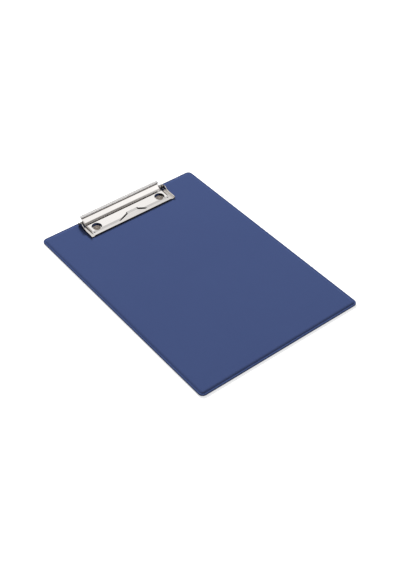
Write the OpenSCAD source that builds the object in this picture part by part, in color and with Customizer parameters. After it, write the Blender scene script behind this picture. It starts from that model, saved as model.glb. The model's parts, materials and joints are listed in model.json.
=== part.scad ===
// Clipboard for A4 sheets: a foil-covered board with a low sprung clip at its head.
// Millimetres. Origin: centre of the back face. +Y towards the clip, +Z up, lying on its back.

/* [Board] */
// Width of the board over the welded edge
board_w = 230; // [180:1:330]
// Length of the board over the welded edge
board_l = 320; // [250:1:460]
// Corner radius of the outline
board_corner_r = 6; // [5:0.5:12]
// Thickness of the greyboard core
core_t = 2.2; // [1.6:0.1:4]
// Thickness of each covering foil
foil_t = 0.3; // [0.2:0.05:0.5]
// Width of the welded edge outside the core
weld_w = 2; // [1.5:0.1:2.5]
// Rounding of the core's front edge
core_edge_r = 1.8; // [0.3:0.1:2]
// Width of the raised seam along the outer edge of the weld
seam_w = 1.3; // [0.8:0.1:1.6]
// Height of the raised seam above the back foil
seam_h = 1.4; // [0.8:0.05:1.6]

/* [Clip base] */
// Thickness of the clip's steel sheet
sheet_t = 0.8; // [0.6:0.1:1.2]
// Half length of the clip base over its upturned ends
base_half_l = 64.4; // [50:0.2:90]
// Distance from the board's head edge to the front edge of the clip base
base_front_set = 35.6; // [26:0.2:60]
// Depth of the base floor from front edge to rear edge
base_floor_depth = 21.4; // [14:0.2:24]
// Inside radius of the bend at each end of the base
base_bend_r = 0.5; // [0.3:0.1:1.2]
// Height of the low front part of each ear above the board
ear_low_h = 3.4; // [2:0.1:5]
// Height of the peak of each ear above the board
ear_peak_h = 7.5; // [5:0.1:10]
// Distance from the base's front edge back to the ear's peak
ear_peak_back = 21; // [16:0.2:24]
// Rounding radius of the ear about the pin
ear_pin_r = 2.4; // [1.9:0.1:2.4]

/* [Lever] */
// Half length of the lever over its end cheeks
lever_half_l = 59.5; // [45:0.5:85]
// Setback of the lip's edge from the base's front edge
lip_setback = 0.4; // [0.4:0.1:3]
// Depth of the flat lip
lip_depth = 4; // [1.5:0.1:5]
// Depth of the sloped step behind the lip
step_depth = 3; // [2:0.1:5]
// Height of the step
step_h = 1.1; // [0.6:0.1:2]
// Depth of the flat plate behind the step
plate_depth = 12.4; // [9:0.1:16]
// Rise of the plate over its depth
plate_rise = 0.6; // [0:0.1:1.5]
// Depth of the front wall of the finger groove
groove_depth = 4; // [3:0.1:6]
// Drop of the groove below the plate
groove_drop = 0.6; // [0.2:0.1:1]
// Angle of the thumb slope above the board
slope_angle = 38.3; // [30:0.1:45]
// Length of the thumb slope from groove to bead
slope_len = 10.8; // [8:0.1:14]
// Outside radius of the rolled bead
bead_r = 1.8; // [1.1:0.1:2]
// Angle that the bead is rolled through
bead_turn = 284; // [200:2:288]
// Centreline radius of the soft bends across the lever
bend_r = 1.6; // [1:0.1:2.5]
// Radius of the lip's two corners
lip_corner_r = 1.5; // [0.5:0.1:3]

/* [Pressed tongue] */
// Width of the pressed tongue at the foot of the step
tongue_w = 44; // [20:1:60]
// Width of the pressed tongue where its ramp begins
tongue_rear_w = 16; // [10:1:30]
// Length of the tongue's flat from the step's foot to its ramp
tongue_l = 5.2; // [4:0.1:7]
// Run of the ramp from the tongue up to the plate
tongue_ramp = 2.8; // [2:0.1:4]
// Offset of the tongue's middle to the right of the clip's middle
tongue_off = 2; // [-10:0.5:10]
// Width of the cut on each side of the tongue
tongue_cut = 0.15; // [0.1:0.05:0.4]
// Radius of the small relief hole near each end of the step
relief_r = 0.6; // [0.3:0.1:1]
// Distance of each relief hole from the lever's end
relief_in = 3; // [2:0.1:5]

/* [Pin and springs] */
// Distance from the board's head edge to the pin's axis
pin_set = 6.7; // [5:0.1:12]
// Height of the pin's axis above the board's face
pin_h = 2.5; // [2.4:0.1:4]
// Radius of the hinge pin
pin_r = 1.2; // [0.8:0.05:1.4]
// Radial running clearance of the lever on the pin
pin_clear = 0.05; // [0.02:0.01:0.09]
// Radius of the peened heads of the pin
pin_head_r = 1.8; // [1.6:0.1:2.4]
// Thickness of the peened heads of the pin
pin_head_t = 0.6; // [0.3:0.1:1]
// Radius of the pin's collars between the lever and the ears
collar_r = 2.1; // [1.6:0.05:2.4]
// Radius of the lever's cheeks about the pin
cheek_pin_r = 2.2; // [1.8:0.1:2.4]
// Diameter of the spring wire
wire_d = 0.8; // [0.5:0.05:0.9]
// Mean radius of the spring's curls
curl_r = 1.75; // [1.7:0.05:1.9]
// Number of curls in each spring
curls = 10; // [5:1:14]
// Distance along the pin from one curl to the next
curl_pitch = 1.3; // [1.3:0.05:2]
// Distance of each spring's middle from the clip's middle
spring_off = 28; // [16:1:40]
// Length of the spring's leg over the base floor
spring_leg_l = 12; // [6:0.5:14]

/* [Rivets] */
// Distance of each rivet from the outer face of the ear beside it
rivet_inset = 15.9; // [10:0.1:30]
// Distance of each rivet back from the base's front edge
rivet_back = 12.2; // [6:0.2:14]
// Radius of the rivet's shank
rivet_r = 2; // [1.5:0.1:2.5]
// Radius of the rivet's head
rivet_head_r = 4.4; // [3:0.1:5]
// Height of the rivet's head
rivet_head_h = 0.85; // [0.5:0.05:1]
// Radius of the round access holes in the lever
access_r = 6.6; // [4.5:0.1:7]
// Radius of the washer on the back
washer_r = 6; // [4:0.1:8]
// Thickness of the washer on the back
washer_t = 0.5; // [0.3:0.1:0.8]
// Depth of the round dimple pressed into the back
dimple_depth = 0.9; // [0.7:0.05:1.3]
// Assembly clearance round shanks and washers
seat_clear = 0.15; // [0.05:0.05:0.4]

/* [Hidden] */
$fn = 64;

board_top = core_t + 2 * foil_t;
core_r = board_corner_r - weld_w;
edge_r = min(core_edge_r, core_t - 0.1, core_r - foil_t - 0.1);
seam_r = min(seam_w, weld_w - 0.1) / 2;
base_front_y = board_l / 2 - base_front_set;
base_rear_y = base_front_y + base_floor_depth;
floor_top = board_top + sheet_t;
pin_y = board_l / 2 - pin_set;
pin_z = board_top + pin_h;
rivet_y = base_front_y + rivet_back;
rivet_off = base_half_l - rivet_inset;
half_t = sheet_t / 2;

// Middle line of the lever's sheet, from the lip's edge to the foot of the bead (Y, Z).
lip_p = [base_front_y + lip_setback, floor_top + half_t];
step_p = lip_p + [lip_depth, 0];
plate_p = step_p + [step_depth, step_h];
groove_p = plate_p + [plate_depth, plate_rise];
slope_p = groove_p + [groove_depth, -groove_drop];
slope_dir = [cos(slope_angle), sin(slope_angle)];
slope_up = [-sin(slope_angle), cos(slope_angle)];
bead_foot = slope_p + slope_len * slope_dir;
bead_c = bead_foot + (bead_r - half_t) * slope_up;
lever_line = [lip_p, step_p, plate_p, groove_p, slope_p, bead_foot];

// ---------- flat outlines ----------

module rounded_rect(w, l, r) {
  square([w - 2 * r, l], center = true);
  square([w, l - 2 * r], center = true);
  for (x = [-1, 1])
    for (y = [-1, 1])
      translate([x * (w / 2 - r), y * (l / 2 - r)])
        circle(r);
}

// A ring section from angle a0 to a1, less than half a turn.
module ring_section(r_in, r_out, a0, a1) {
  far = r_out * 1.5 / cos((a1 - a0) / 4);
  intersection() {
    difference() {
      circle(r_out);
      circle(r_in);
    }
    polygon([[0, 0], far * [cos(a0), sin(a0)], far * [cos((3 * a0 + a1) / 4), sin((3 * a0 + a1) / 4)],
      far * [cos((a0 + a1) / 2), sin((a0 + a1) / 2)],
      far * [cos((a0 + 3 * a1) / 4), sin((a0 + 3 * a1) / 4)], far * [cos(a1), sin(a1)]]);
  }
}

function heading(p, q) = atan2(q[1] - p[1], q[0] - p[0]);
function unit(a) = [cos(a), sin(a)];
function trim_len(turn, r) = r * tan(abs(turn) / 2);

// Points of a round bend, each with its heading, from start on heading a, in steps of 6 degrees or less.
function bend_path(start, a, turn, r) = let (n = max(1, ceil(abs(turn) / 6)))
  [for (k = [0 : n]) let (b = a + turn * k / n)
    [start + sign(turn) * r * (unit(b - 90) - unit(a - 90)), b]];

// Middle line of a sheet through a list of corners, with round bends of centreline radius r.
function sheet_path(pts, r) = concat(
  [[pts[0], heading(pts[0], pts[1])]],
  [for (i = [1 : len(pts) - 2]) let (a = heading(pts[i - 1], pts[i]), turn = heading(pts[i], pts[i + 1]) - a)
    each bend_path(pts[i] - trim_len(turn, r) * unit(a), a, turn, r)]);

// Both faces of a sheet of thickness t along its middle line.
module sheet_outline(path, t) {
  n = len(path);
  polygon(concat(
    [for (q = path) q[0] + t / 2 * unit(q[1] + 90)],
    [for (i = [1 : n]) path[n - i][0] - t / 2 * unit(path[n - i][1] + 90)]));
}

// ---------- solids from sections ----------

// Extrudes a (Y, Z) outline along X, centred.
module along_x(length) {
  translate([-length / 2, 0, 0])
    rotate([90, 0, 90])
      linear_extrude(length)
        children();
}

// Sweeps a section (distance out from the corner centres, Z) round the board.
module board_sweep(r) {
  inner_w = board_w - 2 * board_corner_r;
  inner_l = board_l - 2 * board_corner_r;
  for (k = [0 : 3]) {
    turned = k % 2 == 1;
    side_l = turned ? inner_w : inner_l;
    side_out = (turned ? inner_l : inner_w) / 2;
    rotate([0, 0, 90 * k])
      translate([side_out, -side_l / 2, 0]) {
        rotate([90, 0, 0])
          translate([0, 0, -side_l])
            linear_extrude(side_l)
              children();
        rotate([0, 0, -90])
          rotate_extrude(angle = 90)
            children();
      }
  }
}

module board_middle(z0, z1) {
  translate([0, 0, (z0 + z1) / 2])
    cube([board_w - 2 * board_corner_r, board_l - 2 * board_corner_r, z1 - z0], center = true);
}

module at_rivets(r, z0, z1) {
  for (x = [-rivet_off, rivet_off])
    translate([x, rivet_y, z0])
      cylinder(h = z1 - z0, r = r);
}

// ---------- board ----------

// Greyboard core with its front edge rounded; it ends where the weld begins.
module core_board() {
  lid = board_top - foil_t;
  color([0.50, 0.47, 0.42])
    difference() {
      union() {
        board_middle(foil_t, lid);
        board_sweep(core_r) {
          translate([0, foil_t])
            square([core_r - foil_t, core_t - edge_r]);
          translate([0, foil_t])
            square([core_r - foil_t - edge_r, core_t]);
          translate([core_r - foil_t - edge_r, lid - edge_r])
            intersection() {
              circle(edge_r);
              square(edge_r);
            }
        }
      }
      at_rivets(rivet_r + seat_clear, 0, board_top);
      at_rivets(washer_r + seat_clear + foil_t, foil_t - 1, dimple_depth + foil_t);
    }
}

// Front foil: flat face, rolled over the core's edge, then flat to the seam along the outline.
module cover_front() {
  lid = board_top - foil_t;
  color([0.06, 0.09, 0.21])
    difference() {
      union() {
        board_middle(lid, board_top);
        board_sweep(core_r) {
          translate([0, lid])
            square([core_r - foil_t - edge_r, foil_t]);
          translate([core_r - foil_t - edge_r, lid - edge_r])
            ring_section(edge_r, edge_r + foil_t, 0, 90);
          translate([core_r - foil_t, foil_t])
            square([foil_t, core_t - edge_r]);
          translate([core_r - foil_t, foil_t])
            square([weld_w + foil_t, foil_t]);
          translate([board_corner_r - 2 * seam_r, foil_t])
            square([2 * seam_r, seam_h - seam_r]);
          translate([board_corner_r - seam_r, foil_t + seam_h - seam_r])
            intersection() {
              circle(seam_r);
              translate([-seam_r, 0])
                square([2 * seam_r, seam_r]);
            }
        }
      }
      at_rivets(rivet_r + seat_clear, 0, board_top + 1);
    }
}

// Back foil: flat over the whole outline, pressed up into a dimple at each washer.
module cover_back() {
  color([0.06, 0.09, 0.21])
    difference() {
      union() {
        linear_extrude(foil_t)
          rounded_rect(board_w, board_l, board_corner_r);
        at_rivets(washer_r + seat_clear + foil_t, 0, dimple_depth + foil_t);
      }
      at_rivets(washer_r + seat_clear, -1, dimple_depth);
      at_rivets(rivet_r + seat_clear, -1, board_top);
    }
}

// ---------- clip base ----------

// Outline of an ear seen from the end, from the low front part to the round about the pin.
module ear_outline() {
  peak_y = base_front_y + ear_peak_back;
  low_z = board_top + ear_low_h;
  peak_z = board_top + ear_peak_h;
  polygon([[base_front_y, board_top], [base_front_y, low_z - 1.6], [base_front_y + 1.4, low_z - 0.3],
    [base_front_y + 5.6, low_z], [peak_y - 8.4, low_z], [peak_y - 4.6, low_z + 0.8],
    [peak_y - 1.9, peak_z - 1.6], [peak_y, peak_z], [peak_y + 3.7, peak_z - 0.3],
    [pin_y + 0.6 * ear_pin_r, pin_z + 0.75 * ear_pin_r], [pin_y + 0.2, pin_z], [pin_y - 1, board_top]]);
}

// Folded floor and ears, as one section across the clip (X, height above the board).
module base_section() {
  wall_x = base_half_l - half_t;
  up = ear_peak_h + 2;
  corners = [[-wall_x, up], [-wall_x, half_t], [wall_x, half_t], [wall_x, up]];
  sheet_outline(concat(sheet_path(corners, base_bend_r + half_t), [[corners[3], 90]]), sheet_t);
}

module clip_base() {
  reach = base_front_set + ear_pin_r;
  foot_half = base_half_l - sheet_t - 0.6 * base_bend_r;
  color([0.80, 0.79, 0.77])
    difference() {
      union() {
        intersection() {
          along_x(2 * base_half_l + 2)
            ear_outline();
          translate([0, base_front_y + reach, board_top])
            rotate([90, 0, 0])
              linear_extrude(reach)
                base_section();
        }
        for (s = [-1, 1])
          translate([s * (base_half_l - half_t), pin_y, pin_z])
            rotate([0, 90, 0])
              cylinder(h = sheet_t, r = ear_pin_r, center = true);
      }
      // Behind the floor's rear edge only the upright ears go on, with part of their bends.
      translate([-foot_half, base_rear_y, board_top - 1])
        cube([2 * foot_half, base_front_set, ear_peak_h + 3]);
      at_rivets(rivet_r + seat_clear, board_top - 1, floor_top + 1);
      translate([0, pin_y, pin_z])
        rotate([0, 90, 0])
          cylinder(h = 2 * base_half_l + 2, r = pin_r + pin_clear, center = true);
    }
}

// ---------- lever ----------

// Plan of the pressed tongue, widened on each side by grow.
module tongue_plan(grow) {
  front = tongue_w / 2 + grow;
  rear = tongue_rear_w / 2 + grow;
  foot_y = step_p[0];
  ramp_y = foot_y + tongue_l;
  end_y = ramp_y + tongue_ramp + 2 * sheet_t;
  translate([tongue_off, 0])
    polygon([[-front, foot_y - 0.2], [front, foot_y - 0.2], [front, foot_y], [rear, ramp_y], [rear, end_y],
      [-rear, end_y], [-rear, ramp_y], [-front, foot_y]]);
}

// Space above the tongue's top face, lowered by drop: flat, then the ramp up to the plate.
module above_tongue(drop) {
  top_z = floor_top + sheet_t - drop;
  ramp_y = step_p[0] + tongue_l;
  plate_slope = plate_rise / plate_depth;
  ramp_h = step_h + plate_slope * (ramp_y + tongue_ramp - plate_p[0]);
  far = 1.4;
  along_x(2 * lever_half_l)
    polygon([[step_p[0] - 1, top_z], [ramp_y, top_z], [ramp_y + far * tongue_ramp, top_z + far * ramp_h],
      [ramp_y + far * tongue_ramp, top_z + 9], [step_p[0] - 1, top_z + 9]]);
}

// Space under the top face of the lever's lip, step and plate.
module under_top() {
  along_x(2 * lever_half_l)
    polygon([lip_p + [0, -half_t], lip_p + [0, half_t], step_p + [-0.2, half_t], plate_p + [-0.1, half_t],
      groove_p + [0, half_t], groove_p + [0, -half_t - 1], [plate_p[0], floor_top], [lip_p[0], floor_top]]);
}

// End cheek: hangs from the sheet and closes round the pin.
module cheek_outline() {
  low = floor_top + 0.45;
  top = slope_p + 0.62 * slope_len * slope_dir;
  difference() {
    union() {
      polygon([plate_p, [plate_p[0] + 1.6, low], [pin_y - 1, low], [pin_y, pin_z],
        [pin_y + cheek_pin_r * 0.94, pin_z + cheek_pin_r * 0.34], top, slope_p, groove_p]);
      translate([pin_y, pin_z])
        circle(cheek_pin_r);
    }
    translate([pin_y, pin_z])
      circle(pin_r + pin_clear);
  }
}

// Lip, step, plate, groove, thumb slope and rolled bead, as one bent sheet.
module lever_section() {
  bead = bend_path(bead_foot, slope_angle, bead_turn, bead_r - half_t);
  sheet_outline(concat(sheet_path(lever_line, bend_r), bead), sheet_t);
}

module clip_lever() {
  edge_y = lip_p[0];
  plan_l = 60;
  color([0.88, 0.87, 0.85]) {
    difference() {
      union() {
        intersection() {
          along_x(2 * lever_half_l)
            lever_section();
          translate([0, edge_y + plan_l / 2, 0])
            linear_extrude(40)
              rounded_rect(2 * lever_half_l, plan_l, lip_corner_r);
        }
        for (s = [-1, 1])
          translate([s * (lever_half_l - half_t), 0, 0])
            along_x(sheet_t)
              cheek_outline();
      }
      intersection() {
        above_tongue(sheet_t + 1);
        linear_extrude(20)
          tongue_plan(tongue_cut);
      }
      at_rivets(access_r, floor_top, floor_top + 8);
      for (x = [-lever_half_l + relief_in, lever_half_l - relief_in])
        translate([x, step_p[0] + 0.6, floor_top - 1])
          cylinder(h = 4, r = relief_r);
    }
    // The tongue: cut free at its sides, in one with the lip in front and the ramp behind.
    difference() {
      intersection() {
        above_tongue(sheet_t);
        under_top();
        linear_extrude(20)
          tongue_plan(0);
      }
      above_tongue(0);
    }
  }
}

// ---------- pin, springs, rivets ----------

module hinge_pin() {
  inner = 2 * base_half_l;
  ear_in = base_half_l - sheet_t - seat_clear;
  collar_l = max(0.5, ear_in - lever_half_l - seat_clear);
  color([0.62, 0.61, 0.60])
    translate([0, pin_y, pin_z])
      rotate([0, 90, 0]) {
        cylinder(h = inner, r = pin_r, center = true);
        for (s = [0, 1])
          mirror([0, 0, s])
            translate([0, 0, base_half_l]) {
              cylinder(h = pin_head_t / 2, r = pin_head_r);
              translate([0, 0, pin_head_t / 2])
                cylinder(h = pin_head_t / 2, r1 = pin_head_r, r2 = 0.6 * pin_head_r);
            }
        for (s = [0, 1])
          mirror([0, 0, s])
            translate([0, 0, ear_in - collar_l])
              cylinder(h = collar_l, r = collar_r);
      }
}

// Path of one spring: leg over the floor, curls round the pin, leg up to the thumb slope.
wire_r = wire_d / 2;
leg_tilt = 4.7;
start_a = 270 - leg_tilt;
end_a = 356 + 360 * (curls - 1);
rings_per_curl = 8;
n_curl = ceil((end_a - start_a) / 360 * rings_per_curl);
function curl_point(a) = [curl_pitch * ((a - start_a) / 360 - curls / 2),
  pin_y + curl_r * cos(a), pin_z + curl_r * sin(a)];
lift_leg_l = (slope_p[1] - half_t / cos(slope_angle) - pin_z
  + (pin_y + curl_r - slope_p[0]) * tan(slope_angle)) - wire_d;
spring_path = concat(
  [curl_point(start_a) - spring_leg_l * [0, cos(leg_tilt), -sin(leg_tilt)],
   curl_point(start_a) - wire_d * [0, cos(leg_tilt), -sin(leg_tilt)]],
  [for (i = [0 : n_curl]) curl_point(start_a + (end_a - start_a) * i / n_curl)],
  [curl_point(end_a) + wire_d * [0, sin(4), cos(4)],
   curl_point(end_a) + lift_leg_l * [0, sin(4), cos(4)]]);

function norm_to(v) = v / norm(v);
function path_dir(i) = norm_to(spring_path[min(i + 1, len(spring_path) - 1)] - spring_path[max(i - 1, 0)]);
function ring_side(i) = norm_to(cross(path_dir(i), [1, 0.02, 0.01]));
wire_sides = 6;
ring_points = [for (i = [0 : len(spring_path) - 1]) for (k = [0 : wire_sides - 1])
  spring_path[i] + wire_r * (cos(360 * k / wire_sides) * ring_side(i)
  + sin(360 * k / wire_sides) * cross(path_dir(i), ring_side(i)))];
last_ring = wire_sides * (len(spring_path) - 1);
ring_faces = concat(
  [for (k = [1 : wire_sides - 2]) [0, k, k + 1]],
  [for (k = [1 : wire_sides - 2]) [last_ring, last_ring + k + 1, last_ring + k]],
  [for (i = [0 : len(spring_path) - 2]) for (k = [0 : wire_sides - 1])
    each [[wire_sides * i + k, wire_sides * (i + 1) + k, wire_sides * i + (k + 1) % wire_sides],
      [wire_sides * i + (k + 1) % wire_sides, wire_sides * (i + 1) + k,
       wire_sides * (i + 1) + (k + 1) % wire_sides]]]);
curl_gap = min([for (i = [2 : n_curl - rings_per_curl + 2]) for (j = [rings_per_curl - 1 : rings_per_curl + 1])
  if (i + j < len(spring_path)) norm(spring_path[i] - spring_path[i + j])]) - wire_d;
echo(least_gap_between_curls = curl_gap);

module one_spring() {
  color([0.55, 0.54, 0.52])
    translate([spring_off, 0, 0])
      polyhedron(ring_points, ring_faces);
}

module spring_right() {
  one_spring();
}

module spring_left() {
  mirror([1, 0, 0])
    one_spring();
}

// Domed head with a dimple, hollow shank, and a tail rolled out over the washer.
module one_rivet() {
  tail_t = 0.35;
  washer_bottom = dimple_depth - washer_t;
  color([0.66, 0.63, 0.60])
    difference() {
      union() {
        translate([0, 0, floor_top])
          cylinder(h = rivet_head_h * 0.4, r = rivet_head_r);
        translate([0, 0, floor_top + rivet_head_h * 0.4])
          cylinder(h = rivet_head_h * 0.6, r1 = rivet_head_r, r2 = rivet_head_r * 0.62);
        translate([0, 0, washer_bottom - tail_t])
          cylinder(h = floor_top - washer_bottom + tail_t + 0.1, r = rivet_r);
        translate([0, 0, washer_bottom - tail_t])
          cylinder(h = tail_t, r1 = rivet_r + 0.8, r2 = rivet_r + 1.2);
      }
      translate([0, 0, floor_top + rivet_head_h - 0.4])
        cylinder(h = 1, r1 = rivet_r * 0.6, r2 = rivet_r * 1.6);
      translate([0, 0, -1])
        cylinder(h = 1 + floor_top - 0.6, r = rivet_r * 0.6);
    }
}

module one_washer() {
  color([0.70, 0.69, 0.67])
    translate([0, 0, dimple_depth - washer_t])
      difference() {
        cylinder(h = washer_t, r = washer_r);
        translate([0, 0, -1])
          cylinder(h = washer_t + 2, r = rivet_r + seat_clear);
      }
}

module rivet_left() {
  translate([-rivet_off, rivet_y, 0])
    one_rivet();
}

module rivet_right() {
  translate([rivet_off, rivet_y, 0])
    one_rivet();
}

module washer_left() {
  translate([-rivet_off, rivet_y, 0])
    one_washer();
}

module washer_right() {
  translate([rivet_off, rivet_y, 0])
    one_washer();
}

core_board();
cover_front();
cover_back();
clip_base();
clip_lever();
hinge_pin();
spring_left();
spring_right();
rivet_left();
rivet_right();
washer_left();
washer_right();
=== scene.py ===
import json
import math

import bmesh
import bpy
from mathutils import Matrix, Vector

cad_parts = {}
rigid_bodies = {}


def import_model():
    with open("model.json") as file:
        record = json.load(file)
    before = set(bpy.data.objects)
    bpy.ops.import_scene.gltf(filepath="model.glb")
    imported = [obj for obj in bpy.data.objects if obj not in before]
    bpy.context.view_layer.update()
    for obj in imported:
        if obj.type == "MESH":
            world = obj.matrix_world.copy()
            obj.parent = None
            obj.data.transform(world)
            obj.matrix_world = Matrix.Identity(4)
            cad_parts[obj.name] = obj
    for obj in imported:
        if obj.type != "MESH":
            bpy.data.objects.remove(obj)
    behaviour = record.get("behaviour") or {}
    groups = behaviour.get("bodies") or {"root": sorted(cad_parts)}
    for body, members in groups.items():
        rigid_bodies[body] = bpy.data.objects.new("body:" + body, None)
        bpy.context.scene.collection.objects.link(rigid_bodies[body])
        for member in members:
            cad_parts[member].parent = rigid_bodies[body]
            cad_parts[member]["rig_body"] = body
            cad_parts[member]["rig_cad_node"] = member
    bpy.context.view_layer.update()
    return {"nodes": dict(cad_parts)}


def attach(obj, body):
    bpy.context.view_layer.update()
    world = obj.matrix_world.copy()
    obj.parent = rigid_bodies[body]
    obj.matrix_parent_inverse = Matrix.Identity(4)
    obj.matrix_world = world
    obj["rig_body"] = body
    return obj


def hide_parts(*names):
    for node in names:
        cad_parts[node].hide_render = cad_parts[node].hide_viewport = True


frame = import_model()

MM = 0.001
nodes = frame["nodes"]

# ---------------------------------------------------------------------------
# Camera and studio
# The board lies flat on a white table. The camera looks down at it from the
# left of the foot end, at the photograph's angle and distance.
# ---------------------------------------------------------------------------
turn, lift = math.radians(-38.086), math.radians(43.308)
away = Vector((math.sin(turn) * math.cos(lift), -math.cos(turn) * math.cos(lift), math.sin(lift)))
camera_data = bpy.data.cameras.new("camera")
camera_data.sensor_width = 36.0
focal_pixels, photo_height = 1014.903, 570.0
camera_data.lens = focal_pixels / photo_height * camera_data.sensor_width
camera_data.clip_start = 0.01
camera = bpy.data.objects.new("camera", camera_data)
camera.location = Vector((-9.323 * MM, -22.159 * MM, 0)) + away * 1197.45 * MM
camera.rotation_euler = (math.pi / 2 - lift, 0, turn)
bpy.context.scene.collection.objects.link(camera)
bpy.context.scene.camera = camera
bpy.context.scene.view_settings.view_transform = "Standard"


def deselect_all():
    if bpy.context.object and bpy.context.object.mode != "OBJECT":
        bpy.ops.object.mode_set(mode="OBJECT")
    bpy.ops.object.select_all(action="DESELECT")


class Socket:
    """A shader socket or value that Python's operators turn into Math nodes."""

    def __init__(self, tree, source):
        self.tree, self.source = tree, source

    def node(self, kind, settings=None, **inputs):
        made = self.tree.nodes.new(kind)
        for name, value in (settings or {}).items():
            setattr(made, name, value)
        for name, value in inputs.items():
            key = int(name[1:]) if name[0] == "i" and name[1:].isdigit() else name.replace("_", " ")
            if isinstance(value, Socket):
                self.tree.links.new(value.source, made.inputs[key])
            else:
                made.inputs[key].default_value = value
        return made

    def out(self, kind, settings=None, output=0, **inputs):
        return Socket(self.tree, self.node(kind, settings, **inputs).outputs[output])

    def math(self, operation, *values):
        inputs = {f"i{k}": value for k, value in enumerate(values)}
        return self.out("ShaderNodeMath", {"operation": operation}, **inputs)

    def __add__(self, other):
        return self.math("ADD", self, other)

    def __mul__(self, other):
        return self.math("MULTIPLY", self, other)

    def __sub__(self, other):
        return self.math("SUBTRACT", self, other)

    def __rsub__(self, other):
        return self.math("SUBTRACT", other, self)

    def smooth(self, low, high, to_low=0.0, to_high=1.0):
        return self.out("ShaderNodeMapRange", {"interpolation_type": "SMOOTHSTEP"},
                        i0=self, i1=low, i2=high, i3=to_low, i4=to_high)

    def blend(self, dark, light):
        return self.out("ShaderNodeMix", {"data_type": "RGBA"}, output=2, i0=self, i6=dark, i7=light)


def new_material(name):
    material = bpy.data.materials.new(name)
    material.use_nodes = True
    tree = material.node_tree
    shader = tree.nodes["Principled BSDF"]
    place = Socket(tree, tree.nodes.new("ShaderNodeTexCoord").outputs["Object"])
    return material, tree, shader, place


# Table: white to the camera, with the board's soft shadow, and darker where the metal mirrors it.
deselect_all()
bpy.ops.mesh.primitive_plane_add(size=60, location=(0, 0, -0.0004))
table = bpy.context.object
table.name = "table_top"
white, tree, shader, place = new_material("table_white")
tree.nodes.remove(shader)
path = tree.nodes.new("ShaderNodeLightPath")
seen = Socket(tree, path.outputs["Is Camera Ray"])
mirrored = Socket(tree, path.outputs["Is Glossy Ray"])
through = Socket(tree, path.outputs["Is Transmission Ray"])
lit = place.node("ShaderNodeBsdfDiffuse", Color=(0.80, 0.80, 0.80, 1))
added = (seen + through) * 0.62 + mirrored * 0.08
glow = place.node("ShaderNodeEmission", Color=(1, 1, 1, 1), Strength=added)
both = tree.nodes.new("ShaderNodeAddShader")
tree.links.new(lit.outputs[0], both.inputs[0])
tree.links.new(glow.outputs[0], both.inputs[1])
tree.links.new(both.outputs[0], tree.nodes["Material Output"].inputs["Surface"])
table.data.materials.append(white)

# Studio: a white cove all round, softly graded for what the bright metal mirrors.
world = bpy.data.worlds.new("studio")
bpy.context.scene.world = world
world.use_nodes = True
tree = world.node_tree
path = tree.nodes.new("ShaderNodeLightPath")
seen = Socket(tree, path.outputs["Is Camera Ray"])
mirrored = Socket(tree, path.outputs["Is Glossy Ray"])
heading = Socket(tree, tree.nodes.new("ShaderNodeTexCoord").outputs["Generated"])
up = heading.out("ShaderNodeSeparateXYZ", output=2, Vector=heading)
back = heading.out("ShaderNodeSeparateXYZ", output=1, Vector=heading)
fill_level = 0.29
# The front is dark where the room lies behind the camera, but for a white card low in front of the clip.
front_dark = (up.smooth(0.60, 0.75, 0.86, 0.0) * back.smooth(-0.32, 0.0, 1.0, 0.0)
              * back.smooth(-0.76, -0.66))
front_card = (up.smooth(-0.05, 0.05) * up.smooth(0.45, 0.60, 0.70, 0.0)
              * back.smooth(-0.76, -0.66, 1.0, 0.0))
cove = (up.smooth(0.30, 0.60, 0.20, 0.77) + up.smooth(0.61, 0.69, 0.0, 0.30)
        - up.smooth(0.70, 0.90, 0.0, 0.40))
graded = cove * back.smooth(-0.5, 0.1, 1.22, 1.0) * (1 - front_dark) + front_card
strength = seen * 1.0 + mirrored * graded + (1 - seen) * (1 - mirrored) * fill_level
background = tree.nodes["Background"]
background.inputs["Color"].default_value = (1, 1, 1, 1)
tree.links.new(strength.source, background.inputs["Strength"])

# Soft lamp over the head end: it grades the board and throws the clip's shadow towards the foot.
lamp_data = bpy.data.lights.new("soft_box", "AREA")
lamp_data.shape = "RECTANGLE"
lamp_data.size, lamp_data.size_y = 1.3, 0.7
lamp_data.energy = 356
lamp = bpy.data.objects.new("soft_box", lamp_data)
lamp.location = (1.70, 4.10, 2.60)
lamp.rotation_euler = (Vector((0, 0.05, 0)) - lamp.location).to_track_quat("-Z", "Y").to_euler()
lamp.visible_glossy = False
bpy.context.scene.collection.objects.link(lamp)

# ---------------------------------------------------------------------------
# Board covers
# Two sheets of dark blue PVC foil with a fine pressed grain. They are laid over
# the greyboard and welded together round it, so the front one rolls down over the
# core's edge to a narrow weld with a raised seam along the outline.
# ---------------------------------------------------------------------------
board_w, board_l, corner_r = 230 * MM, 320 * MM, 6 * MM
board_top = 2.8 * MM
foil_t = 0.3 * MM


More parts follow.
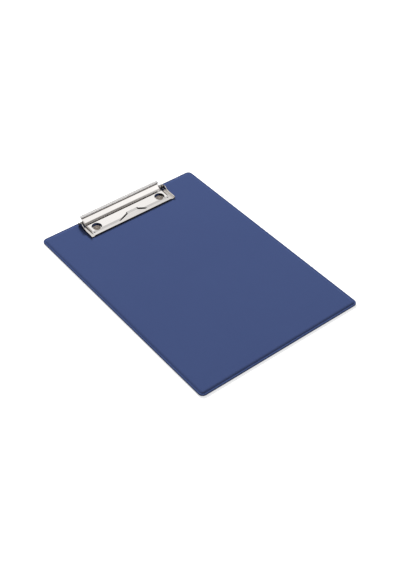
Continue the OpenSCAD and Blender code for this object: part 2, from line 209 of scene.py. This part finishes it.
def foil_material(name):
    """Dark blue PVC with a fine grain pressed in, pores, and a faint cloudiness."""
    material, tree, shader, place = new_material(name)
    grain = place.out("ShaderNodeTexNoise", Vector=place, Scale=1500.0, Detail=3.0, Roughness=0.6)
    pores = place.out("ShaderNodeTexVoronoi", {"feature": "F1"}, Vector=place, Scale=900.0)
    cloud = place.out("ShaderNodeTexNoise", Vector=place, Scale=26.0, Detail=5.0, Roughness=0.62)
    haze = place.out("ShaderNodeTexNoise", Vector=place, Scale=5.0, Detail=2.0, Roughness=0.5)
    tone = (cloud.smooth(0.3, 0.7) * 0.6 + haze.smooth(0.35, 0.65) * 0.4).blend(
        (0.038, 0.065, 0.192, 1), (0.045, 0.075, 0.208, 1))
    speck = grain.smooth(0.25, 0.75) * 0.5 + pores.smooth(0.1, 0.6) * 0.5
    colour = (speck * 0.5 + 0.25).blend(tone, (0.058, 0.087, 0.214, 1))
    tree.links.new(colour.source, shader.inputs["Base Color"])
    rough = speck * 0.10 + cloud * 0.10 + 0.44
    tree.links.new(rough.source, shader.inputs["Roughness"])
    height = grain * 0.6 + pores * 0.4
    bump = place.node("ShaderNodeBump", Strength=0.35, Distance=0.00006, Height=height)
    tree.links.new(bump.outputs[0], shader.inputs["Normal"])
    shader.inputs["Specular IOR Level"].default_value = 0.30
    return material


front_foil = foil_material("foil_front_grained")
back_foil = foil_material("foil_back_grained")


def give_gauge(piece, thickness, offset=0, even=False):
    """Thickens the active bare surface to the gauge of its sheet."""
    gauge = piece.modifiers.new("sheet_gauge", "SOLIDIFY")
    gauge.thickness, gauge.offset, gauge.use_even_offset = thickness, offset, even
    bpy.ops.object.modifier_apply(modifier=gauge.name)


deselect_all()
bpy.ops.mesh.primitive_plane_add(size=1, location=(0, 0, 0))
cover = bpy.context.object
cover.name = "foil_front_skin"
cover.scale = (board_w, board_l, 1)
bpy.ops.object.transform_apply(scale=True)
bpy.ops.object.mode_set(mode="EDIT")
bpy.ops.mesh.select_all(action="SELECT")
bpy.ops.transform.translate(value=(0, 0, foil_t))
bpy.ops.mesh.bevel(offset=corner_r, offset_type="OFFSET", segments=14, affect="VERTICES")
# Steps from the outline inwards: the seam's side, its round top, the weld, the long roll over the
# core, and the face.
for inward, rise in ((0.03, 1.05), (0.08, 0.30), (0.20, 0.22), (0.36, 0.08), (0.30, -0.06), (0.28, -0.18),
                     (0.25, -0.16), (0.20, -0.02), (0.25, 0.06), (0.30, 0.20), (0.40, 0.28), (0.50, 0.28),
                     (0.60, 0.22), (0.70, 0.15), (0.50, 0.07), (0.40, 0.01)):
    bpy.ops.mesh.select_all(action="DESELECT")
    mesh = bmesh.from_edit_mesh(cover.data)
    mesh.faces.ensure_lookup_table()
    max(mesh.faces, key=lambda f: f.calc_area()).select = True
    bmesh.update_edit_mesh(cover.data)
    bpy.ops.mesh.inset(thickness=inward * MM, depth=rise * MM, use_even_offset=True)
bpy.ops.object.mode_set(mode="OBJECT")
top = max(v.co.z for v in cover.data.vertices)
give_gauge(cover, foil_t, offset=-1)
bpy.ops.object.shade_smooth_by_angle(angle=math.radians(50))
cover.location.z = board_top - top
bpy.ops.object.transform_apply(location=True)
cover.data.materials.append(front_foil)
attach(cover, "board")
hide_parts("cover_front")

nodes["cover_back"].data.materials.clear()
nodes["cover_back"].data.materials.append(back_foil)

# ---------------------------------------------------------------------------
# Board core
# Grey millboard pressed from waste paper, sealed inside the two foils. Only
# its shape shows, as the soft shoulder beside the weld.
# ---------------------------------------------------------------------------
greyboard, tree, shader, place = new_material("greyboard_raw")
fibre = place.out("ShaderNodeTexNoise", Vector=place, Scale=420.0, Detail=6.0, Roughness=0.7)
fleck = place.out("ShaderNodeTexNoise", Vector=place, Scale=90.0, Detail=2.0)
colour = (fibre.smooth(0.3, 0.7) * 0.7 + fleck * 0.3).blend((0.33, 0.30, 0.26, 1), (0.50, 0.47, 0.42, 1))
tree.links.new(colour.source, shader.inputs["Base Color"])
shader.inputs["Roughness"].default_value = 0.9
bump = place.node("ShaderNodeBump", Strength=0.4, Distance=0.0001, Height=fibre)
tree.links.new(bump.outputs[0], shader.inputs["Normal"])
nodes["core_board"].data.materials.clear()
nodes["core_board"].data.materials.append(greyboard)

# ---------------------------------------------------------------------------
# Clip base
# Nickel-plated steel strip, blanked and folded: a flat floor riveted to the
# board, with both ends turned up as ears that hold the hinge pin.
# ---------------------------------------------------------------------------


def plated_material(name, colour, other_tint, roughness):
    """Plated steel with faint drawing lines along X and a thin uneven film."""
    material, tree, shader, place = new_material(name)
    drawn = place.out("ShaderNodeMapping", Vector=place, Scale=(12.0, 900.0, 900.0))
    lines = place.out("ShaderNodeTexNoise", Vector=drawn, Scale=1.0, Detail=4.0, Roughness=0.6)
    film = place.out("ShaderNodeTexNoise", Vector=place, Scale=70.0, Detail=4.0, Roughness=0.55)
    tint = (film.smooth(0.3, 0.75) * 0.75 + lines.smooth(0.3, 0.7) * 0.25).blend((*other_tint, 1), (*colour, 1))
    tree.links.new(tint.source, shader.inputs["Base Color"])
    shader.inputs["Metallic"].default_value = 1.0
    rough = film.smooth(0.3, 0.8) * (0.5 * roughness) + lines * (0.35 * roughness) + roughness * 0.6
    tree.links.new(rough.source, shader.inputs["Roughness"])
    bump = place.node("ShaderNodeBump", Strength=0.10, Distance=0.00002, Height=lines * 0.6 + film * 0.4)
    tree.links.new(bump.outputs[0], shader.inputs["Normal"])
    return material


def shade_and_film(material, mask, colour, roughness):
    """Blends a plated material to another colour and adds roughness, by a mask of its place: painted shade
    and painted reflection, and the bead's satin with a painted sheen.
    """
    tree = material.node_tree
    shader = tree.nodes["Principled BSDF"]
    for name, other_tint in (("Base Color", colour), ("Roughness", None)):
        was = Socket(tree, shader.inputs[name].links[0].from_socket)
        now = mask.blend(was, (*other_tint, 1)) if other_tint else was + mask * roughness
        tree.links.new(now.source, shader.inputs[name])


base_nickel = plated_material("nickel_base", (0.83, 0.80, 0.77), (0.74, 0.71, 0.68), 0.12)
lever_nickel = plated_material("nickel_lever", (0.90, 0.87, 0.845), (0.84, 0.81, 0.785), 0.10)


def even_finish(piece, edge, angle):
    """Breaks a mesh's sharp edges and lets its flats govern the shading."""
    deselect_all()
    bpy.context.view_layer.objects.active = piece
    piece.select_set(True)
    soft = piece.modifiers.new("broken_edges", "BEVEL")
    soft.width, soft.segments, soft.limit_method = edge, 2, "ANGLE"
    soft.angle_limit = math.radians(angle)
    bpy.ops.object.modifier_apply(modifier=soft.name)
    bpy.ops.object.shade_smooth_by_angle(angle=math.radians(32))
    even = piece.modifiers.new("even_shading", "WEIGHTED_NORMAL")
    even.keep_sharp = True
    bpy.ops.object.modifier_apply(modifier=even.name)


def finished_copy(node, name, material, edge, angle=35):
    """A merged copy of a CAD node with its sharp edges broken, which stands for it."""
    deselect_all()
    piece = nodes[node].copy()
    piece.data = nodes[node].data.copy()
    piece.parent = None
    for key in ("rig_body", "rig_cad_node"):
        if key in piece:
            del piece[key]
    piece.name = name
    bpy.context.scene.collection.objects.link(piece)
    bpy.context.view_layer.objects.active = piece
    piece.select_set(True)
    bpy.ops.object.mode_set(mode="EDIT")
    bpy.ops.mesh.select_all(action="SELECT")
    bpy.ops.mesh.remove_doubles(threshold=0.000002)
    bpy.ops.mesh.dissolve_limited(angle_limit=math.radians(0.4))
    bpy.ops.object.mode_set(mode="OBJECT")
    even_finish(piece, edge, angle)
    piece.data.materials.clear()
    piece.data.materials.append(material)
    return piece


def place_in(material):
    """Where a point of a plated piece lies: the place itself, then across, along and up in millimetres."""
    tree = material.node_tree
    place = Socket(tree, tree.nodes["Texture Coordinate"].outputs["Object"])
    axes = [place.out("ShaderNodeSeparateXYZ", output=k, Vector=place) * 1000 for k in range(3)]
    return place, *axes


base_end, base_front = 64.4, 124.4
tongue_middle, tongue_foot = 1.75, 128.8
# Painted shade: the outer faces of the ears are darkened to stand for the shaded board that they mirror.
place, across, along, _ = place_in(base_nickel)
ear_face_shade = place.math("ABSOLUTE", across).smooth(base_end - 0.2, base_end - 0.02)
shade_and_film(base_nickel, ear_face_shade, (0.11, 0.105, 0.105), 0.1)
# The cut front edge is darkened, partly for its own bare steel and partly as painted shade along the
# clip's front, and the floor under the lever's tongue is darkened as painted shade.
under = (place.math("ABSOLUTE", across - tongue_middle).smooth(24.5, 27.0, 1, 0)
         * along.smooth(tongue_foot - 0.9, tongue_foot - 0.4))
sheared_edge_shade = along.smooth(base_front + 0.2, base_front + 0.5, 1, 0)
shade_and_film(base_nickel, place.math("MAXIMUM", under, sheared_edge_shade), (0.05, 0.043, 0.04), 0.3)
base = finished_copy("clip_base", "clip_base_folded", base_nickel, 0.12 * MM)
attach(base, "board")
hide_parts("clip_base")

# ---------------------------------------------------------------------------
# Clip lever
# One strip of nickel-plated steel: lip, step, plate, finger groove, thumb slope
# and rolled bead. A tongue is lanced out of the step, and both ends are turned
# down as cheeks that close round the pin.
# ---------------------------------------------------------------------------
sheet = 0.8 * MM
lever_end = 59.1
pin_y, pin_z = 153.3, 5.3
rivet_x, rivet_y = 48.5, 136.6
# Cut faces of the holes and the tongue's opening are near-black: partly their own bare steel, partly
# painted shade of the gaps beneath them.
cut_edge_and_shade_steel = plated_material("lanced_edge_steel_and_shade", (0.07, 0.062, 0.055), (0.035, 0.03, 0.028), 0.45)


def cut_away(piece, cutter):
    """Cuts one closed mesh with another, which is used up."""
    deselect_all()
    bpy.context.view_layer.objects.active = piece
    tool = piece.modifiers.new("cut", "BOOLEAN")
    tool.operation, tool.object, tool.solver = "DIFFERENCE", cutter, "MANIFOLD"
    bpy.ops.object.modifier_apply(modifier=tool.name)
    bpy.data.objects.remove(cutter)


def pick(piece, vertex_test):
    """Selects the vertices of a mesh in edit mode, and what lies between them, by their place."""
    bpy.ops.mesh.select_all(action="DESELECT")
    mesh = bmesh.from_edit_mesh(piece.data)
    for vertex in mesh.verts:
        vertex.select = bool(vertex_test(vertex.co.x / MM, vertex.co.y / MM, vertex.co.z / MM))
    mesh.select_flush(True)
    mesh.select_flush(False)
    bmesh.update_edit_mesh(piece.data)


# The strip's middle line: straight runs joined by soft bends, then the bead's roll.
lip_edge, lip_z = 124.8, 4.0
step_top = 131.8
line = [(lip_edge, lip_z), (tongue_foot, lip_z), (step_top, 5.1), (144.2, 5.7), (148.2, 5.1),
        (156.675, 11.793)]
bend, slope_angle = 1.6, 38.3
bead_bend, bead_turn, bead_steps = 1.4, 284, 32
path = [line[0]]
for before, corner_at, after in zip(line, line[1:], line[2:]):
    start = math.atan2(corner_at[1] - before[1], corner_at[0] - before[0])
    swing = math.atan2(after[1] - corner_at[1], after[0] - corner_at[0]) - start
    reach = bend * math.tan(abs(swing) / 2)
    count = max(4, round(abs(math.degrees(swing)) / 5))
    place = (corner_at[0] - reach * math.cos(start), corner_at[1] - reach * math.sin(start))
    path.append(place)
    for k in range(count):
        aim = start + swing * (k + 0.5) / count
        chord = 2 * bend * math.sin(abs(swing) / count / 2)
        place = (place[0] + chord * math.cos(aim), place[1] + chord * math.sin(aim))
        path.append(place)
# The cheeks end over the pin, part of the way up the thumb slope.
path += [(pin_y, 9.13), line[-1]]
place, aim = line[-1], math.radians(slope_angle)
for k in range(bead_steps):
    part = math.radians(bead_turn) / bead_steps
    chord = 2 * bead_bend * math.sin(part / 2)
    place = (place[0] + chord * math.cos(aim + part / 2), place[1] + chord * math.sin(aim + part / 2))
    aim += part
    path.append(place)


def distance(place, first, second):
    """Distance of a point from an axis, by its two offsets from it."""
    return place.math("SQRT", first * first + second * second)


crease_y, crease_z = 154.4, 11.1
bead_y, bead_z = 155.81, 12.89
# Painted shade and painted reflection: the finger groove, the crease before the bead and the end folds are
# darkened and roughened, unevenly across the clip.
place, across, along, up = place_in(lever_nickel)
patchy = place.out("ShaderNodeTexNoise", Vector=place, Scale=240.0, Detail=4.0, Roughness=0.6)
groove = along.smooth(146.8, 148.6) * along.smooth(149.1, 149.9, 1, 0) * across.smooth(-10, 58, 1.0, 0.60)
crease = distance(place, along - crease_y, up - crease_z).smooth(0.8, 1.05, 1, 0)
folds = (place.math("ABSOLUTE", across).smooth(lever_end - 1.9, lever_end - 1.2)
         * along.smooth(step_top - 0.2, step_top + 0.8) * across.smooth(-30, 30, 0.55, 0.95)
         * up.smooth(8.0, 9.5, 1, 0))
painted_dark_bands = place.math("MAXIMUM", place.math("MAXIMUM", groove * (patchy * 0.3 + 0.75), crease), folds)
shade_and_film(lever_nickel, painted_dark_bands, (0.165, 0.148, 0.134), 0.18)
# The cut front edge is darkened, partly for its own bare steel and partly as painted shade along the
# clip's front. The bead is left satin by the rolling, and its colour is made a little lighter as painted
# sheen.
sheared_edge_shade = along.smooth(lip_edge + 0.1, lip_edge + 0.35, 1, 0)
shade_and_film(lever_nickel, sheared_edge_shade, (0.05, 0.046, 0.05), 0.1)
bead = distance(place, along - bead_y, up - bead_z).smooth(1.9, 2.3, 1, 0) * up.smooth(11.6, 12.3)
shade_and_film(lever_nickel, bead, (0.93, 0.91, 0.89), 0.40)

deselect_all()
bpy.ops.mesh.primitive_plane_add(size=1, location=(0, 0, 0))
lever = bpy.context.object
lever.name = "clip_lever_pressed"
lever.scale = (2 * lever_end * MM, (path[1][0] - path[0][0]) * MM, 1)
lever.location = (0, (path[0][0] + path[1][0]) / 2 * MM, path[0][1] * MM)
bpy.ops.object.transform_apply(location=True, scale=True)
bpy.ops.object.mode_set(mode="EDIT")
bpy.ops.mesh.select_mode(type="EDGE")
pick(lever, lambda x, y, z: y > path[1][0] - 0.01)
for here, there in zip(path[1:], path[2:]):
    step = (0, (there[0] - here[0]) * MM, (there[1] - here[1]) * MM)
    bpy.ops.mesh.extrude_region_move(TRANSFORM_OT_translate={"value": step})
# Cheeks: the end edges from the plate to the thumb slope are drawn down, and the folds are rounded.
cheek_low = 4.1
bpy.ops.mesh.select_all(action="DESELECT")
mesh = bmesh.from_edit_mesh(lever.data)
for edge in mesh.edges:
    if edge.verts[0].co.x * edge.verts[1].co.x > 0:
        edge.select = all((step_top + 0.1) * MM < v.co.y < (pin_y + 0.1) * MM and v.co.z < 9.2 * MM
                          for v in edge.verts)
bmesh.update_edit_mesh(lever.data)
bpy.ops.mesh.extrude_region_move(TRANSFORM_OT_translate={"value": (0, 0, -0.2 * MM)})
bpy.ops.transform.resize(value=(1, 1, 0), center_override=(0, 0, cheek_low * MM))
bpy.ops.mesh.select_all(action="DESELECT")
mesh = bmesh.from_edit_mesh(lever.data)
for edge in mesh.edges:
    if len(edge.link_faces) == 2 and all(abs(v.co.x) > (lever_end - 0.1) * MM for v in edge.verts):
        run = edge.verts[0].co - edge.verts[1].co
        if abs(run.z) < abs(run.y) * 0.95:
            edge.select = True
bmesh.update_edit_mesh(lever.data)
bpy.ops.mesh.bevel(offset=1.15 * MM, segments=6, profile=0.5, affect="EDGES", clamp_overlap=True)
bpy.ops.mesh.select_all(action="SELECT")
bpy.ops.mesh.remove_doubles(threshold=0.000005)
bpy.ops.mesh.normals_make_consistent(inside=False)
bpy.ops.object.mode_set(mode="OBJECT")
give_gauge(lever, sheet)
lever.data.materials.append(lever_nickel)
lever.data.materials.append(cut_edge_and_shade_steel)

# Access holes over the rivets, a small relief hole near each end of the step, and the cheeks' pin holes.
for side in (-1, 1):
    for radius, x, y in ((6.6, rivet_x, rivet_y), (0.7, 56.5, 129.4)):
        deselect_all()
        bpy.ops.mesh.primitive_cylinder_add(vertices=96, radius=radius * MM, depth=6 * MM,
                                            location=(side * x * MM, y * MM, 5.3 * MM))
        bpy.context.object.data.materials.append(cut_edge_and_shade_steel)
        cut_away(lever, bpy.context.object)
    deselect_all()
    bpy.ops.mesh.primitive_cylinder_add(vertices=64, radius=1.25 * MM, depth=3 * MM,
                                        location=(side * lever_end * MM, pin_y * MM, pin_z * MM),
                                        rotation=(0, math.pi / 2, 0))
    bpy.context.object.data.materials.append(lever_nickel)
    cut_away(lever, bpy.context.object)

# Tongue: its opening is lanced through the step, and its own strip stays at the lip's level.
# Each row is a place along the board and where the lanced line stands left and right of the middle.
foot_row, ramp_row = (tongue_foot, -21.0, 24.5), (134.2, -3.4, 12.6)
ramp_run, ramp_rise = 2.6, 1.342
slit = 1.1


def tongue_sheet(height, foot_in, ramp_in, ramp_back, run, rise):
    """The tongue's plan, drawn in at its foot and ramp, with its ramp set back and extended."""
    deselect_all()
    bpy.ops.mesh.primitive_plane_add(size=1, location=(0, 0, height * MM))
    made = bpy.context.object
    bpy.ops.object.transform_apply(location=True)
    bpy.ops.object.mode_set(mode="EDIT")
    mesh = bmesh.from_edit_mesh(made.data)
    for vertex in mesh.verts:
        at_foot = vertex.co.y < 0
        row, drawn_in, set_back = (foot_row, foot_in, 0) if at_foot else (ramp_row, ramp_in, ramp_back)
        vertex.co.x = (row[1] + drawn_in if vertex.co.x < 0 else row[2] - drawn_in) * MM
        vertex.co.y = (row[0] + set_back) * MM
    bmesh.update_edit_mesh(made.data)
    pick(made, lambda x, y, z: y > ramp_row[0] - 1)
    bpy.ops.mesh.extrude_region_move(TRANSFORM_OT_translate={"value": (0, run * MM, rise * MM)})
    return made


opening = tongue_sheet(height=3.0, foot_in=0.6, ramp_in=-0.8, ramp_back=slit, run=ramp_run - slit, rise=0)
bpy.ops.mesh.select_all(action="SELECT")
bpy.ops.mesh.extrude_region_move(TRANSFORM_OT_translate={"value": (0, 0, 4 * MM)})
bpy.ops.mesh.select_all(action="SELECT")
bpy.ops.mesh.normals_make_consistent(inside=False)
bpy.ops.object.mode_set(mode="OBJECT")
opening.data.materials.append(cut_edge_and_shade_steel)
cut_away(lever, opening)

tongue = tongue_sheet(height=lip_z, foot_in=4.2, ramp_in=0.5, ramp_back=0, run=ramp_run, rise=ramp_rise)
pick(tongue, lambda x, y, z: abs(y - ramp_row[0]) < 1)
bpy.ops.mesh.bevel(offset=0.9 * MM, segments=5, affect="EDGES")
bpy.ops.mesh.select_all(action="SELECT")
bpy.ops.mesh.normals_make_consistent(inside=False)
bpy.ops.object.mode_set(mode="OBJECT")
give_gauge(tongue, sheet, even=True)
tongue.data.materials.append(lever_nickel)

# Round end of each cheek about the pin, drawn from a disc whose middle is opened for the pin.
eyes = []
for side in (-1, 1):
    deselect_all()
    bpy.ops.mesh.primitive_circle_add(vertices=64, radius=2.2 * MM, fill_type="NGON", location=(0, 0, 0),
                                      rotation=(0, math.pi / 2, 0))
    eye = bpy.context.object
    bpy.ops.object.transform_apply(rotation=True)
    bpy.ops.object.mode_set(mode="EDIT")
    bpy.ops.mesh.select_all(action="SELECT")
    bpy.ops.mesh.inset(thickness=0.95 * MM)
    bpy.ops.mesh.delete(type="FACE")
    bpy.ops.object.mode_set(mode="OBJECT")
    give_gauge(eye, 0.78 * MM)
    eye.location = (side * lever_end * MM, pin_y * MM, pin_z * MM)
    bpy.ops.object.transform_apply(location=True)
    eye.data.materials.append(lever_nickel)
    eyes.append(eye)
deselect_all()
for part in (*eyes, tongue, lever):
    part.select_set(True)
bpy.context.view_layer.objects.active = lever
bpy.ops.object.join()
even_finish(lever, 0.07 * MM, angle=50)
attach(lever, "lever")
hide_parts("clip_lever")

# ---------------------------------------------------------------------------
# Hinge pin
# Turned steel rod through both ears and the lever's cheeks, its ends peened over.
# A collar at each end keeps the lever in the middle.
# ---------------------------------------------------------------------------
pin_steel = plated_material("pin_drawn_steel", (0.46, 0.44, 0.42), (0.30, 0.285, 0.27), 0.26)


def turned_piece(name, x, y, steps, sides=56):
    """A round piece drawn from its first rim to its last, each rim a radius and a height."""
    deselect_all()
    radius, height = steps[0]
    bpy.ops.mesh.primitive_circle_add(vertices=sides, radius=radius * MM, fill_type="NGON",
                                      location=(x * MM, y * MM, height * MM))
    made = bpy.context.object
    made.name = name
    bpy.ops.object.transform_apply(location=True)
    bpy.ops.object.mode_set(mode="EDIT")
    bpy.ops.mesh.select_all(action="SELECT")
    for wide, high in steps[1:]:
        bpy.ops.mesh.extrude_region_move(TRANSFORM_OT_translate={"value": (0, 0, (high - height) * MM)})
        bpy.ops.transform.resize(value=(wide / radius, wide / radius, 1),
                                 center_override=(x * MM, y * MM, high * MM))
        radius, height = wide, high
    bpy.ops.mesh.select_all(action="SELECT")
    bpy.ops.mesh.normals_make_consistent(inside=False)
    bpy.ops.object.mode_set(mode="OBJECT")
    bpy.ops.object.shade_smooth_by_angle(angle=math.radians(40))
    return made


# Rims of one half, from the peened end inwards: head, shank through the ear, collar, shank.
half_pin = [(0.35, 65.0), (1.08, 64.97), (1.52, 64.84), (1.80, 64.58), (1.80, 64.44), (1.62, 64.36),
            (1.20, 64.36), (1.20, 63.46), (1.86, 63.46), (2.02, 63.38), (2.10, 63.20), (2.10, 59.90),
            (2.02, 59.74), (1.86, 59.66), (1.20, 59.66)]
whole_pin = [(radius, -place) for radius, place in half_pin] + half_pin[::-1]
pin = turned_piece("hinge_pin_peened", 0, 0, whole_pin, sides=40)
deselect_all()
bpy.context.view_layer.objects.active = pin
pin.select_set(True)
pin.rotation_euler = (0, math.pi / 2, 0)
pin.location = (0, pin_y * MM, pin_z * MM)
bpy.ops.object.transform_apply(location=True, rotation=True)
pin.data.materials.append(pin_steel)
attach(pin, "board")
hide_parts("hinge_pin")

# ---------------------------------------------------------------------------
# Springs
# Two hard-drawn steel wires, each wound nine and a quarter times round the pin.
# One leg of each presses on the base's floor, the other under the thumb slope.
# ---------------------------------------------------------------------------
spring_wire = plated_material("spring_wire_drawn", (0.56, 0.55, 0.53), (0.42, 0.41, 0.39), 0.25)
curl_r = 1.75 * MM


def wound_wire(name, wire, from_angle, turned, along, leg, leg_end):
    """A wire wound round the pin from an angle (degrees), with one straight leg at its start or end."""
    deselect_all()
    first = math.radians(from_angle)
    bpy.ops.mesh.primitive_circle_add(vertices=14, radius=wire, location=(0, 0, 0))
    made = bpy.context.object
    made.name = name
    bpy.ops.object.mode_set(mode="EDIT")
    bpy.ops.mesh.select_all(action="SELECT")
    # The wire's section stands in the plane of the axis and the radius at the first angle.
    mesh = bmesh.from_edit_mesh(made.data)
    for vertex in mesh.verts:
        out, side = vertex.co.x + curl_r, vertex.co.y
        vertex.co = (side, out * math.cos(first), out * math.sin(first))
    bmesh.update_edit_mesh(made.data)
    bpy.ops.object.mode_set(mode="OBJECT")
    winding = made.modifiers.new("winding", "SCREW")
    winding.axis, winding.angle = "X", math.radians(turned)
    winding.screw_offset = along
    winding.steps = winding.render_steps = max(6, round(turned / 15))
    winding.use_smooth_shade = True
    winding.use_normal_calculate = False
    bpy.ops.object.modifier_apply(modifier=winding.name)
    bpy.ops.object.mode_set(mode="EDIT")
    bpy.ops.mesh.select_mode(type="EDGE")
    bpy.ops.mesh.select_all(action="DESELECT")
    mesh = bmesh.from_edit_mesh(made.data)
    last = first + math.radians(turned)
    rims = [Vector((0, curl_r * math.cos(first), curl_r * math.sin(first))),
            Vector((along, curl_r * math.cos(last), curl_r * math.sin(last)))]
    for edge in mesh.edges:
        if edge.is_boundary:
            near, far = (rims[1], rims[0]) if leg_end else rims
            edge.select = (edge.verts[0].co - near).length < (edge.verts[0].co - far).length
    bmesh.update_edit_mesh(made.data)
    bpy.ops.mesh.extrude_edges_move(TRANSFORM_OT_translate={"value": [0.04 * v for v in leg]})
    bpy.ops.mesh.extrude_edges_move(TRANSFORM_OT_translate={"value": [0.96 * v for v in leg]})
    mesh = bmesh.from_edit_mesh(made.data)
    bmesh.ops.holes_fill(mesh, edges=[e for e in mesh.edges if e.is_boundary], sides=0)
    bmesh.update_edit_mesh(made.data)
    bpy.ops.mesh.select_all(action="SELECT")
    bpy.ops.mesh.normals_make_consistent(inside=False)
    bpy.ops.object.mode_set(mode="OBJECT")
    return made


coil_start, coil_turned, pitch = 265.3, 3330.7, 1.3
coil_length = pitch * coil_turned / 360
spring_middle = 28
coil_from = spring_middle - coil_length / 2 - pitch * 0.375
low_tilt, high_tilt = math.radians(4.7), math.radians(4)
low_leg = (0, -12 * math.cos(low_tilt) * MM, 12 * math.sin(low_tilt) * MM)
high_leg = (0, 4.6 * math.sin(high_tilt) * MM, 4.6 * math.cos(high_tilt) * MM)
for side, name in ((1, "right"), (-1, "left")):
    # The coil and its upper leg swing with the lever; the lower leg and a quarter turn stay on the base.
    coil = wound_wire(f"spring_coil_{name}", 0.4 * MM, coil_start, coil_turned, coil_length * MM, high_leg,
                      leg_end=True)
    foot = wound_wire(f"spring_foot_{name}", 0.395 * MM, coil_start, 90, pitch / 4 * MM, low_leg,
                      leg_end=False)
    for wire, body in ((coil, "lever"), (foot, "board")):
        deselect_all()
        bpy.context.view_layer.objects.active = wire
        wire.select_set(True)
        wire.location = (coil_from * MM, pin_y * MM, pin_z * MM)
        bpy.ops.object.transform_apply(location=True)
        if side < 0:
            bpy.ops.object.mode_set(mode="EDIT")
            bpy.ops.mesh.select_all(action="SELECT")
            bpy.ops.transform.resize(value=(-1, 1, 1), center_override=(0, 0, 0))
            bpy.ops.mesh.normals_make_consistent(inside=False)
            bpy.ops.object.mode_set(mode="OBJECT")
        bpy.ops.object.shade_smooth_by_angle(angle=math.radians(50))
        wire.data.materials.append(spring_wire)
        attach(wire, body)
        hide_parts("spring_" + name)

# ---------------------------------------------------------------------------
# Rivets and washers
# Steel rivets with a ringed, dished head on the base's floor. Their tails are
# rolled out over stamped washers, sunk in round dimples of the back foil.
# ---------------------------------------------------------------------------
# The rivets' brownish, darker steel is partly painted shade, for the lever's plate over their heads.
rivet_steel = plated_material("rivet_formed_steel", (0.60, 0.53, 0.47), (0.38, 0.32, 0.275), 0.30)
washer_steel = plated_material("washer_stamped_steel", (0.70, 0.69, 0.67), (0.58, 0.57, 0.55), 0.24)

# Painted shade: darkened rings in the grooves of each head, and on the base's floor round it, where the
# lever's plate shades them.
ring_shade = ((rivet_steel, (2.9, 3.45, 4.0), 0.9), (rivet_steel, (1.1, 1.75, 2.3), 0.75),
           (base_nickel, (4.2, 4.5, 5.3), 0.7))
for material, (low, mid, high), strong in ring_shade:
    place, across, along, _ = place_in(material)
    out = distance(place, place.math("ABSOLUTE", across) - rivet_x, along - rivet_y)
    ring = out.smooth(low, mid) * out.smooth(mid, high, 1, 0)
    shade_and_film(material, ring * strong, (0.085, 0.068, 0.055), 0.2)

# Rims of the head, from under its flange to the middle of its dish, and of the shank with its hollow tail.
head_rings = [(2.0, 3.5), (4.30, 3.61), (4.40, 3.70), (4.40, 3.84), (4.28, 3.98), (4.02, 4.07),
              (3.74, 4.08), (3.56, 4.02), (3.44, 4.02), (3.22, 4.28), (3.02, 4.42), (2.66, 4.45),
              (2.34, 4.42), (2.18, 4.28), (2.04, 4.10), (1.72, 4.05), (1.30, 4.07), (1.12, 4.15),
              (0.62, 4.19), (0.20, 4.20)]
tail_rings = [(1.95, 3.60), (2.0, 3.55), (2.0, 0.44), (3.05, 0.42), (3.16, 0.36), (3.20, 0.26),
              (3.06, 0.12), (2.72, 0.055), (2.20, 0.08), (1.74, 0.22), (1.42, 0.52), (1.28, 1.10),
              (1.22, 2.10), (1.20, 2.95), (0.90, 3.02), (0.25, 3.04)]
for side, name in ((-1, "left"), (1, "right")):
    head = turned_piece(f"rivet_formed_{name}", rivet_x * side, rivet_y, head_rings)
    shank = turned_piece("shank", rivet_x * side, rivet_y, tail_rings)
    deselect_all()
    shank.select_set(True)
    head.select_set(True)
    bpy.context.view_layer.objects.active = head
    bpy.ops.object.join()
    head.data.materials.append(rivet_steel)
    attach(head, "board")
    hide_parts(f"rivet_{name}")
    washer = finished_copy(f"washer_{name}", f"washer_formed_{name}", washer_steel, 0.08 * MM, angle=20)
    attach(washer, "board")
    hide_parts(f"washer_{name}")
